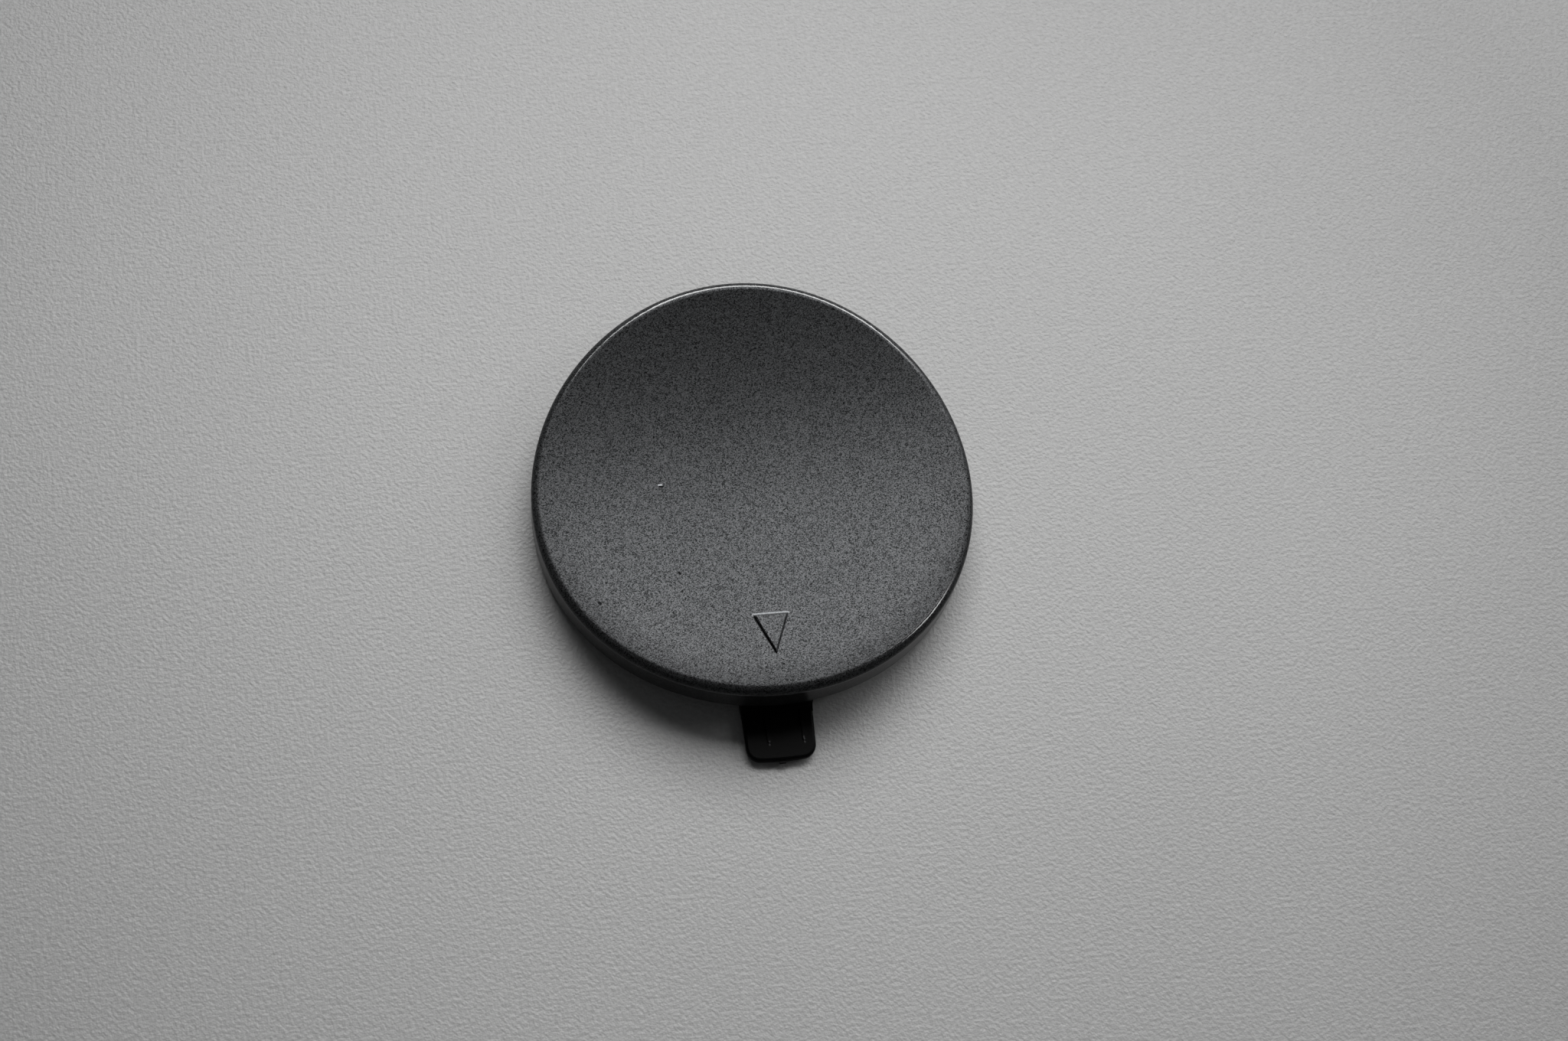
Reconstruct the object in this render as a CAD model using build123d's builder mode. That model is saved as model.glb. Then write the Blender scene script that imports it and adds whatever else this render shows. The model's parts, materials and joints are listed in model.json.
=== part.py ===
"""A round snap-in cover for the towing-eye hole of a bumper, moulded in one piece.

The cover is a shallow cap. Its show face is dished across Y like the panel round it, and a skirt
drops from the rounded edge all the way round. A hooked tongue at -Y goes under the landing in the
panel first, and two snap arms at +Y then click in under the same landing.

Millimetres. +Z is out of the show face and the tongue points along -Y. The origin is on the axis of
the round skirt, at the height where the edge rounding meets the skirt's wall on the X axis.
"""

from build123d import *
import math
import os

# ---- cap ----
cover_radius = 32.0  # outside of the skirt
dish_radius = 118.0  # curve of the show face across Y
edge_radius = 1.15  # rounding between the show face and the skirt
skirt_depth = 5.0  # straight wall below that rounding
face_wall = 2.2
skirt_wall = 1.8
lip_chamfer = 0.25  # along the skirt's lower edge, outside
corner_chamfer = 0.6  # inside, where the skirt meets the face

# ---- landing in the panel, which the hooks grip from below ----
landing_thickness = 2.6
tongue_clearance = 0.5
barb_clearance = 0.1

# ---- tongue ----
tongue_overhang = 7.0  # past the outside of the skirt
tongue_thickness = 1.2
tongue_root_width = 10.2
tongue_tip_width = 9.8
tongue_corner = 2.0
tongue_edge = 0.4  # rounding of the blade's upper edge
tongue_lead = 0.3  # chamfer under the blade's tip
heel_height = 0.6  # of the stem below the blade
stem_wall = 2.0
stem_setback = 0.45  # stem behind the outside of the skirt
stem_flare = 0.5  # where the stem's sides run out into the skirt
hook_radius = 0.8  # between the stem and the blade's upper face
hook_bed = 0.2  # of the blade, beyond that radius
rib_places = (-1.6, 3.4)  # low ribs along the blade
rib_width = 0.5
rib_height = 0.25
rib_overhang = 4.4  # past the outside of the skirt
gate_width = 0.9  # trimmed sprue on the tip
gate_length = 0.3
gate_height = 0.6

# ---- gussets between the stem and the face ----
gusset_spacing = 6.4
gusset_wall = 1.2
gusset_run = 6.0
gusset_lift = 0.8  # above the foot of the stem

# ---- snap arms ----
arm_angle = 18.0  # each side of +Y
arm_width = 6.0
arm_wall = 1.6
arm_gap = 2.0  # between an arm and the inside of the skirt
barb_reach = 2.2
barb_nose = 0.5

# ---- stiffening under the face ----
ring_radius = 22.0  # outside of the ring wall
ring_wall = 1.4
ring_depth = 2.4  # below the underside of the face
spoke_count = 12
spoke_wall = 1.1
spoke_depth = 1.5

# ---- triangle on the face that points at the tongue ----
mark_width = 5.1
mark_length = 6.5
mark_inset = 12.5  # from the outside of the skirt to the base of the triangle
mark_height = 0.34
mark_bevel = 0.3


def dish(y):
    """Rise of the dished face at a distance y from the X axis."""
    return dish_radius - math.sqrt(dish_radius**2 - y**2)


skirt_inside = cover_radius - skirt_wall
stem_outside = cover_radius - stem_setback
stem_inside = stem_outside - stem_wall
tongue_reach = cover_radius + tongue_overhang
face_under = edge_radius - face_wall
mid_face = edge_radius - face_wall / 2

# The dish lifts the skirt's lower edge most at -Y and +Y, where the hooks are.
skirt_foot = dish(cover_radius) - skirt_depth
tongue_top = skirt_foot - landing_thickness - tongue_clearance
barb_top = skirt_foot - landing_thickness - barb_clearance
blade_foot = tongue_top - tongue_thickness
foot = blade_foot - heel_height


def dished_disc(radius, bottom, top):
    """A round slab with both faces dished across Y; bottom and top are heights on the X axis."""
    half = radius * 1.05
    rise = dish(half)
    with BuildPart() as slab:
        with BuildSketch(Plane.YZ):
            with BuildLine():
                ThreePointArc((-half, bottom + rise), (0, bottom), (half, bottom + rise))
                Line((half, bottom + rise), (half, top + rise))
                ThreePointArc((half, top + rise), (0, top), (-half, top + rise))
                Line((-half, top + rise), (-half, bottom + rise))
            make_face()
        extrude(amount=half, both=True)
        with BuildSketch(Plane.XY.offset(bottom)):
            Circle(radius)
        extrude(amount=top - bottom + rise, mode=Mode.INTERSECT)
    return slab.part


# What hangs from the face is trimmed to this, so that it ends inside the face's wall.
under_face = dished_disc(tongue_reach + gate_length, foot - dish(tongue_reach), mid_face)

with BuildPart() as cavity:
    add(dished_disc(skirt_inside, -skirt_depth - skirt_wall, face_under))
    chamfer(cavity.faces().sort_by(Axis.Z)[-1].edges(), corner_chamfer)

with BuildPart() as stiffening:
    spoke_start = ring_radius - ring_wall / 2
    spoke_end = cover_radius - skirt_wall / 2
    with BuildSketch(Plane.XY.offset(foot)):
        with PolarLocations(spoke_start, spoke_count):
            Rectangle(spoke_end - spoke_start, spoke_wall, align=(Align.MIN, Align.CENTER))
    extrude(amount=cover_radius)
    add(dished_disc(spoke_end, face_under - spoke_depth, mid_face), mode=Mode.INTERSECT)
    add(dished_disc(ring_radius, face_under - ring_depth, mid_face))
    with BuildSketch(Plane.XY.offset(foot)):
        Circle(ring_radius - ring_wall)
    extrude(amount=cover_radius, mode=Mode.SUBTRACT)

with BuildPart() as stem:
    # The curved wall, with the hook's inner radius at the foot of its outer face.
    bed_end = stem_outside + hook_radius + hook_bed
    with BuildSketch(Plane.XZ) as wall_section:
        Polygon(
            (stem_inside, foot),
            (stem_outside, foot),
            (stem_outside, blade_foot),
            (bed_end, blade_foot),
            (bed_end, tongue_top),
            (stem_outside, tongue_top),
            (stem_outside, cover_radius),
            (stem_inside, cover_radius),
            align=None,
        )
        hook_corner = wall_section.vertices().filter_by(
            lambda corner: abs(corner.X - stem_outside) + abs(corner.Y - tongue_top) < 0.001
        )
        fillet(hook_corner, hook_radius)
    revolve(axis=Axis.Z)
    # Its outline seen along Y, flared where it leaves the skirt.
    half_root = tongue_root_width / 2
    half_head = half_root + 2 * stem_flare
    stem_head = dish(math.sqrt(stem_outside**2 - half_root**2)) - skirt_depth
    with BuildSketch(Plane.XZ) as front_outline:
        Polygon(
            (-half_root, foot),
            (half_root, foot),
            (half_root, stem_head),
            (half_head, stem_head),
            (half_head, cover_radius),
            (-half_head, cover_radius),
            (-half_head, stem_head),
            (-half_root, stem_head),
            align=None,
        )
        flare_corners = front_outline.vertices().filter_by(
            lambda corner: abs(abs(corner.X) - half_root) + abs(corner.Y - stem_head) < 0.001
        )
        fillet(flare_corners, stem_flare)
    extrude(amount=tongue_reach, mode=Mode.INTERSECT)

with BuildPart() as tongue:
    with BuildSketch(Plane.XY.offset(blade_foot)) as blade_outline:
        Polygon(
            (-tongue_root_width / 2, -stem_inside),
            (-tongue_root_width / 2, -stem_outside),
            (-tongue_tip_width / 2, -tongue_reach),
            (tongue_tip_width / 2, -tongue_reach),
            (tongue_root_width / 2, -stem_outside),
            (tongue_root_width / 2, -stem_inside),
            align=None,
        )
        Circle(tongue_reach, mode=Mode.INTERSECT)
        fillet(blade_outline.vertices().group_by(Axis.Y)[0], tongue_corner)
    extrude(amount=tongue_thickness)
    fillet(tongue.faces().sort_by(Axis.Z)[-1].edges(), tongue_edge)
    blade_tip = tongue.faces().sort_by(Axis.Y)[0]
    chamfer(blade_tip.edges().sort_by(Axis.Z)[0], tongue_lead)
    # Ribs on top, from the stem outwards.
    rib_length = cover_radius + rib_overhang - stem_inside
    with BuildSketch(Plane.XY.offset(tongue_top - tongue_thickness / 2)):
        with Locations([(place, -stem_inside - rib_length / 2) for place in rib_places]):
            SlotOverall(rib_length, rib_width, rotation=90)
    extrude(amount=tongue_thickness / 2 + rib_height)
    with BuildSketch(Plane.XY.offset(tongue_top - tongue_edge - gate_height)):
        with Locations((0, -tongue_reach - gate_length)):
            Rectangle(gate_width, gate_length + tongue_lead, align=(Align.CENTER, Align.MIN))
    extrude(amount=gate_height)
    add(stem.part)

with BuildPart() as gussets:
    gusset_foot = foot + gusset_lift
    gusset_end = gusset_run - stem_inside
    for side in (-1, 1):
        with BuildSketch(Plane.YZ.offset(side * gusset_spacing / 2)):
            Polygon(
                (-stem_inside - stem_wall / 2, gusset_foot),
                (-stem_inside, gusset_foot),
                (gusset_end, face_under + dish(gusset_end)),
                (gusset_end, cover_radius),
                (-stem_inside - stem_wall / 2, cover_radius),
                align=None,
            )
        extrude(amount=gusset_wall / 2, both=True)

with BuildPart() as snap_arms:
    arm_outside = skirt_inside - arm_gap
    for angle in (90 - arm_angle, 90 + arm_angle):
        outward = Vector(1, 0, 0).rotate(Axis.Z, angle)
        with BuildSketch(Plane((0, 0, 0), x_dir=outward, z_dir=outward.cross(Vector(0, 0, 1)))):
            Polygon(
                (arm_outside - arm_wall, cover_radius),
                (arm_outside - arm_wall, foot),
                (arm_outside, foot),
                (arm_outside + barb_reach, barb_top - barb_nose),
                (arm_outside + barb_reach, barb_top),
                (arm_outside, barb_top),
                (arm_outside, cover_radius),
                align=None,
            )
        extrude(amount=arm_width / 2, both=True)

with BuildPart() as mark:
    mark_base = mark_inset - cover_radius
    with BuildSketch():
        Polygon(
            (-mark_width / 2, mark_base),
            (0, mark_base - mark_length),
            (mark_width / 2, mark_base),
            align=None,
        )
    extrude(amount=cover_radius)
    add(dished_disc(cover_radius, mid_face, edge_radius + mark_height), mode=Mode.INTERSECT)
    chamfer(mark.faces().sort_by(Axis.Z)[-1].edges(), mark_bevel)

with BuildPart() as hole_plug:
    add(dished_disc(cover_radius, -skirt_depth, edge_radius))
    fillet(hole_plug.faces().sort_by(Axis.Z)[-1].edges(), edge_radius)
    chamfer(hole_plug.faces().sort_by(Axis.Z)[0].edges(), lip_chamfer)
    add(cavity.part, mode=Mode.SUBTRACT)
    for hanging in (stiffening, tongue, gussets, snap_arms):
        add(hanging.part & under_face)
    add(mark.part)

hole_plug.part.label = "hole_plug"
os.makedirs("parts", exist_ok=True)
export_step(hole_plug.part, "parts/hole_plug.step")
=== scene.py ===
"""The looks of a round towing-eye cover: dark metallic paint over black plastic, on a pale table top."""

import json
import math

import bpy
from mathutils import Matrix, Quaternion, Vector


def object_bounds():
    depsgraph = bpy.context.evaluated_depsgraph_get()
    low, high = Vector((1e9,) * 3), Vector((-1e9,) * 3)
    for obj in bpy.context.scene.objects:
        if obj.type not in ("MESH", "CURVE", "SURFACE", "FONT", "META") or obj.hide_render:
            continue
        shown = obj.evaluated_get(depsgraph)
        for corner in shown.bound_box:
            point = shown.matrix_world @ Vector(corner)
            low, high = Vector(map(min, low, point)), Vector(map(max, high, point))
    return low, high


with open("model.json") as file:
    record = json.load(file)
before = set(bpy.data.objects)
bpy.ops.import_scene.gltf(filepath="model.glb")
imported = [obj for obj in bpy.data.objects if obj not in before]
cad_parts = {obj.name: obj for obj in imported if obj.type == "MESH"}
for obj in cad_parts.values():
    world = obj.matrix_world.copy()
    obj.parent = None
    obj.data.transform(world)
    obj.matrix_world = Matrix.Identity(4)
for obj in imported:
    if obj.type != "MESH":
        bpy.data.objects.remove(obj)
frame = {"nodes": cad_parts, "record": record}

cad_low, cad_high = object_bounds()

# The objects and lights are in metres. The finishes, and the sizes below, are in millimetres.
MM = 0.001

# ---- the cover's form ----
COVER = frame["nodes"]["hole_plug"]
RECESS = next(mount for mount in frame["record"]["mounts"] if mount["name"] == "panel_recess")
COVER_RADIUS = RECESS["dims"]["r_mm"]
SKIRT_DEPTH = RECESS["dims"]["length_mm"]
MID_SKIRT = COVER_RADIUS - 0.9  # radius of the middle of the skirt's wall
DISH_RADIUS = 118.0  # curve of the face across Y
MID_FACE = 0.05  # level of the middle of the face's wall
RIDGE = -0.33  # level of the ridge that the mould left round the skirt
MARK_WIDTH = 5.1
MARK_LENGTH = 6.5
MARK_BASE = 12.5 - COVER_RADIUS  # Y of the triangle's base
RIBS = (-1.6, 3.4)  # X of the two ribs on the tongue
RIB_END = -COVER_RADIUS - 4.4  # Y where they end

# ---- colours and shine ----
PAINT = (0.0360, 0.0370, 0.0382)
PAINT_METALLIC = 0.48
PAINT_ROUGHNESS = 0.32
SKIRT_GLOSS = 0.33
PLASTIC = (0.0025, 0.0025, 0.0026)
PLASTIC_ROUGHNESS = 0.36
LAMINATE = (0.328, 0.328, 0.326)
PAINTED_FALLOFF_REACH = 111.0  # how far off, in millimetres, the painted falloff of light makes the table darker by about a fifth
ROOM_LIGHT = (0.97, 0.985, 1.0, 1.0)
ROOM_STRENGTH = 0.08  # what the room adds to the light of its windows
BACKDROP_LOW = 0.315
BACKDROP_HIGH = 0.015


class Number:
    """A number that changes over a surface. Arithmetic on it adds Math nodes."""

    def __init__(self, finish, socket):
        self.finish = finish
        self.socket = socket

    def math(self, operation, *terms):
        return self.finish.number("ShaderNodeMath", {"operation": operation}, dict(enumerate(terms)))

    def __add__(self, other):
        return self.math("ADD", self, other)

    def __radd__(self, other):
        return self.math("ADD", other, self)

    def __sub__(self, other):
        return self.math("SUBTRACT", self, other)

    def __rsub__(self, other):
        return self.math("SUBTRACT", other, self)

    def __mul__(self, other):
        return self.math("MULTIPLY", self, other)

    def __rmul__(self, other):
        return self.math("MULTIPLY", other, self)

    def __truediv__(self, other):
        return self.math("DIVIDE", self, other)

    def __rtruediv__(self, other):
        return self.math("DIVIDE", other, self)

    def root(self):
        return self.math("SQRT", self)

    def size(self):
        return self.math("ABSOLUTE", self)

    def at_most(self, other):
        return self.math("MINIMUM", self, other)

    def at_least(self, other):
        return self.math("MAXIMUM", self, other)

    def rise(self, start, end):
        """0 up to start, 1 from end on, and a soft step between them."""
        settings = {"interpolation_type": "SMOOTHSTEP"}
        sockets = {"Value": self, "From Min": start, "From Max": end}
        return self.finish.number("ShaderNodeMapRange", settings, sockets)

    def fall(self, start, end):
        """1 up to start, 0 from end on, and a soft step between them."""
        return 1.0 - self.rise(start, end)


class Finish:
    """A node tree, and the ways to add to it."""

    def __init__(self, tree):
        self.tree = tree
        tree.nodes.clear()

    def node(self, kind, settings=None, sockets=None):
        """Adds a node: its type, then its settings, then a value or a link for each socket."""
        node = self.tree.nodes.new(kind)
        for name, setting in (settings or {}).items():
            setattr(node, name, setting)
        for name, value in (sockets or {}).items():
            socket = node.inputs[name] if isinstance(name, int) else find(node.inputs, name)
            source = value.socket if isinstance(value, Number) else value
            if isinstance(source, bpy.types.NodeSocket):
                self.tree.links.new(source, socket)
            else:
                socket.default_value = source
        return node

    def number(self, kind, settings=None, sockets=None):
        return Number(self, self.node(kind, settings, sockets).outputs[0])

    def mix(self, share, first, second):
        """A colour between two colours."""
        settings = {"data_type": "RGBA"}
        sockets = {"Factor_Float": share, "A_Color": first, "B_Color": second}
        return find(self.node("ShaderNodeMix", settings, sockets).outputs, "Result_Color")

    def scaled(self, vector, amount):
        """A colour or a place, times a number."""
        settings = {"operation": "SCALE"}
        return self.node("ShaderNodeVectorMath", settings, {"Vector": vector, "Scale": amount}).outputs[0]

    def millimetres(self):
        """Where a point lies on its object, in millimetres: as one place, and as its X, Y and Z."""
        place = self.scaled(self.node("ShaderNodeTexCoord").outputs["Object"], 1 / MM)
        axes = self.node("ShaderNodeSeparateXYZ", None, {"Vector": place})
        return place, [Number(self, axis) for axis in axes.outputs]

    def grain(self, place, pitch, detail=2.0):
        """Soft noise with a pitch in millimetres, about 0 on average."""
        sockets = {"Vector": place, "Scale": 1 / pitch, "Detail": detail}
        return self.number("ShaderNodeTexNoise", None, sockets) - 0.5

    def flakes(self, place, pitch):
        """A number from -0.5 to 0.5 for each small cell, by chance."""
        cell = self.node("ShaderNodeTexVoronoi", None, {"Vector": place, "Scale": 1 / pitch})
        return self.number("ShaderNodeSeparateColor", None, {"Color": cell.outputs["Color"]}) - 0.5

    def bump(self, height):
        """Relief from a height in millimetres."""
        sockets = {"Height": height * MM, "Distance": 1.0, "Strength": 1.0}
        return self.node("ShaderNodeBump", None, sockets).outputs["Normal"]

    def surface(self, sockets):
        surface = self.node("ShaderNodeBsdfPrincipled", None, sockets)
        self.node("ShaderNodeOutputMaterial", None, {"Surface": surface.outputs[0]})


def find(sockets, name):
    return next(socket for socket in sockets if name in (socket.identifier, socket.name))


def blend(share, first, second):
    """A number between two numbers."""
    return first + share * (second - first)


def new_finish(name):
    material = bpy.data.materials.new(name)
    material.use_nodes = True
    return material, Finish(material.node_tree)


def stroke(x, y, start, end, width):
    """How near a point is to a short straight stroke, seen from above: 1 on its line, 0 at its edge."""
    run = end[0] - start[0]
    climb = end[1] - start[1]
    share = ((x - start[0]) * run + (y - start[1]) * climb) / (run**2 + climb**2)
    share = share.at_least(0.0).at_most(1.0)
    across = x - start[0] - share * run
    along = y - start[1] - share * climb
    return (1.0 - (across * across + along * along).root() / width).at_least(0.0)


# ---- the cover ----
def painted_skirt(finish, place, radius, level):
    """Paint on the outside of the skirt, down to a ragged edge at its lip."""
    outside = radius.rise(MID_SKIRT, MID_SKIRT + 0.2)
    ragged = level + finish.grain(place, pitch=0.6) * 0.2
    return outside * ragged.rise(0.02 - SKIRT_DEPTH, 0.12 - SKIRT_DEPTH)


def nick_in_face(x, y):
    return stroke(x, y, (-13.6, 2.0), (-13.2, 2.0), 0.16).rise(0.0, 0.6)


def specks_in_face(x, y):
    """Dark specks: one under the nick and two farther towards the tongue."""
    specks = stroke(x, y, (-13.5, 1.75), (-13.1, 1.7), 0.14)
    specks = specks.at_least(stroke(x, y, (-12.1, -11.9), (-12.0, -12.1), 0.22))
    specks = specks.at_least(stroke(x, y, (-23.8, -15.6), (-23.6, -15.8), 0.22))
    return specks.rise(0.0, 0.6)


def painted_light_on_mark(x, y):
    """A painted highlight along the triangle's base and a painted shade along its left side."""
    corner = MARK_WIDTH / 2 - 0.15
    tip = (-0.05, MARK_BASE - MARK_LENGTH + 0.3)
    base = stroke(x, y, (-corner, MARK_BASE), (corner, MARK_BASE), 0.32)
    left = stroke(x, y, (-corner, MARK_BASE - 0.4), tip, 0.18)
    return base.rise(0.0, 0.5), left.rise(0.0, 0.5)


def painted_glints_at_rib_ends(x, y):
    """Painted glints where the two ribs on the tongue end."""
    left, right = RIBS
    first = stroke(x, y, (left, RIB_END - 0.3), (left, RIB_END + 0.2), 0.14)
    second = stroke(x, y, (right, RIB_END - 0.3), (right - 0.1, RIB_END + 0.5), 0.14)
    return first.at_least(second)


def cover_finish():
    """Metallic paint on what shows in the panel, and bare moulded plastic on the rest."""
    material, finish = new_finish("painted_cover")
    place, (x, y, z) = finish.millimetres()
    radius = (x * x + y * y).root()
    inset = COVER_RADIUS - radius
    level = z - (DISH_RADIUS - (DISH_RADIUS**2 - y * y).root())  # height over the dished face's own zero

    # Where the paint is, and a painted shade that darkens the face towards the rim on the tongue's side.
    face = level.rise(MID_FACE - 0.1, MID_FACE + 0.1)
    painted = face.at_least(painted_skirt(finish, place, radius, level))
    painted_shade_near_rim = inset.fall(0.5, 6.0) * y.fall(-20.0, 8.0)

    # Gloss on the two high sides of the rounded edge and, less of it, on the skirt.
    wall = inset.fall(0.05, 0.2) * level.fall(-0.3, 0.0)
    rounding = inset.rise(0.4, 0.65) * inset.fall(0.94, 1.08) * level.rise(-1.2, -0.8)
    gloss = (rounding * y.size().rise(14.0, 22.0)).at_least(wall * SKIRT_GLOSS)
    # A low ridge round the skirt: a small real bump in the relief, and a painted highlight line along it in
    # the paint's colour.
    mould_ridge_and_highlight = (level - RIDGE).size().fall(0.04, 0.16) * wall

    # Small marks: a nick and dark specks, a painted highlight and painted shade on the triangle, and painted
    # glints at the rib ends.
    nick = nick_in_face(x, y)
    specks = specks_in_face(x, y)
    bright, dark = painted_light_on_mark(x, y)
    glint = painted_glints_at_rib_ends(x, y)

    # Flakes and a slight cloudiness in the paint, and haze on the plastic.
    fine = finish.grain(place, pitch=0.3, detail=1.0)
    cloud = finish.grain(place, pitch=7.0)
    sparkle = (1.0 + fine * 0.5 + finish.flakes(place, pitch=0.13) * 1.8 + cloud * 0.12).at_least(0.05)
    # The paint's colour: flakes and cloudiness, a lighter nick and dark specks, with painted highlights on
    # the ridge and the triangle's base and painted shade near the rim and on the triangle's left side.
    light = sparkle + mould_ridge_and_highlight * 2.6 + nick * 5.0 + bright * face * 2.4
    shade = (1.0 - painted_shade_near_rim * 0.4) * (1.0 - specks * 0.9) * (1.0 - dark * face * 0.9)
    haze = finish.grain(place, pitch=1.4, detail=3.0)

    paint_relief = finish.grain(place, pitch=1.6) * 0.006 - specks * 0.04 + mould_ridge_and_highlight * 0.03
    plastic_relief = finish.grain(place, pitch=0.25) * 0.008
    paint = finish.scaled(PAINT, light * shade)
    # The plastic's colour, with haze and painted glints at the rib ends.
    plastic = finish.scaled(PLASTIC, 1.0 + haze * 0.5 + glint * 26.0)
    finish.surface({
        "Base Color": finish.mix(painted, plastic, paint),
        "Metallic": painted * PAINT_METALLIC,
        "Roughness": blend(painted, PLASTIC_ROUGHNESS + haze * 0.12, PAINT_ROUGHNESS + fine * 0.08),
        "Specular IOR Level": 0.03,
        "Coat Weight": painted * gloss,
        "Coat Roughness": 0.08,
        "Coat IOR": 1.8,
        "Normal": finish.bump(blend(painted, plastic_relief, paint_relief)),
    })
    return material


# ---- the table and the room ----
def table_finish():
    """Grey laminate with a fine orange-peel surface, and a painted falloff of light that darkens it farther
    from the cover.
    """
    material, finish = new_finish("pale_laminate")
    place, (x, y, _) = finish.millimetres()
    pearl = finish.grain(place, pitch=0.7)
    cloud = finish.grain(place, pitch=60.0, detail=1.0)
    # Painted falloff of light: the laminate's colour darkens with distance from the cover.
    away = (x * x + y * y * 0.92**2) / PAINTED_FALLOFF_REACH**2
    level = 1.0 + pearl * 0.3 + cloud * 0.08 - (away * 0.18).at_most(0.3)
    finish.surface({
        "Base Color": finish.scaled(LAMINATE, level),
        "Roughness": 0.42,
        "Specular IOR Level": 0.3,
        "Normal": finish.bump(finish.grain(place, pitch=0.5, detail=1.0) * 0.115),
    })
    return material


def add_table():
    """A wide flat top at the cover's lowest point."""
    reach = 3.0
    foot = cad_low.z
    corners = [(-reach, -reach, foot), (reach, -reach, foot), (reach, reach, foot), (-reach, reach, foot)]
    mesh = bpy.data.meshes.new("table")
    mesh.from_pydata(corners, [], [(0, 1, 2, 3)])
    mesh.materials.append(table_finish())
    table = bpy.data.objects.new("table", mesh)
    bpy.context.scene.collection.objects.link(table)


def direction(azimuth, elevation):
    """From the middle of the cover outwards, in degrees. The azimuth is counted from +Y towards +X."""
    azimuth = math.radians(azimuth)
    elevation = math.radians(elevation)
    level = math.cos(elevation)
    return Vector((math.sin(azimuth) * level, math.cos(azimuth) * level, math.sin(elevation)))


def add_window(name, azimuth, elevation, distance, width, height, power):
    """A large soft light that faces the cover, sized in metres, with its power in watts."""
    toward = direction(azimuth, elevation)
    light = bpy.data.lights.new(name, "AREA")
    light.shape = "RECTANGLE"
    light.size = width
    light.size_y = height
    light.energy = power
    window = bpy.data.objects.new(name, light)
    window.location = toward * distance
    window.rotation_mode = "QUATERNION"
    window.rotation_quaternion = (-toward).to_track_quat("-Z", "Y")
    bpy.context.scene.collection.objects.link(window)


def add_room():
    """A dim room with a pale backdrop that fades out overhead."""
    world = bpy.data.worlds.new("room")
    world.use_nodes = True
    bpy.context.scene.world = world
    room = Finish(world.node_tree)
    sight = room.node("ShaderNodeTexCoord").outputs["Generated"]
    up = Number(room, room.node("ShaderNodeSeparateXYZ", None, {"Vector": sight}).outputs["Z"])
    backdrop = BACKDROP_HIGH + up.fall(0.0, 0.25) * (BACKDROP_LOW - BACKDROP_HIGH)
    rays = room.node("ShaderNodeLightPath")
    seen = Number(room, rays.outputs["Is Camera Ray"])
    seen = seen.at_least(Number(room, rays.outputs["Is Glossy Ray"]))
    seen = seen.at_least(Number(room, rays.outputs["Is Transmission Ray"]))
    strength = blend(seen, ROOM_STRENGTH, backdrop)
    glow = room.node("ShaderNodeBackground", None, {"Color": ROOM_LIGHT, "Strength": strength})
    room.node("ShaderNodeOutputWorld", None, {"Surface": glow.outputs[0]})


def add_camera(azimuth, elevation, roll, distance, aim):
    """Looks down on the cover from the tongue's side, turned by the roll round its line of sight."""
    toward = direction(azimuth, elevation)
    turned = Quaternion((0, 0, 1), math.radians(roll))
    camera = bpy.data.objects.new("camera", bpy.data.cameras.new("camera"))
    camera.data.sensor_width = 36.0
    camera.data.lens = 56.25
    camera.data.clip_start = 0.01
    camera.location = aim + toward * distance
    camera.rotation_mode = "QUATERNION"
    camera.rotation_quaternion = (-toward).to_track_quat("-Z", "Y") @ turned
    bpy.context.scene.collection.objects.link(camera)
    bpy.context.scene.camera = camera


add_camera(azimuth=199.0, elevation=67.15, roll=13.2, distance=0.3529, aim=Vector((3.9214, -4.4914, 0)) * MM)
add_window("window_ahead", azimuth=14.0, elevation=50.8, distance=1.25, width=1.16, height=0.88, power=21.5)
add_window("window_right", azimuth=68.0, elevation=30.0, distance=1.2, width=0.7, height=0.6, power=3.6)
add_window("strip_right", azimuth=88.0, elevation=41.0, distance=1.2, width=0.2, height=0.3, power=0.7)
add_room()
add_table()
COVER.material_slots[0].material = cover_finish()
bpy.context.scene.view_settings.view_transform = "Standard"
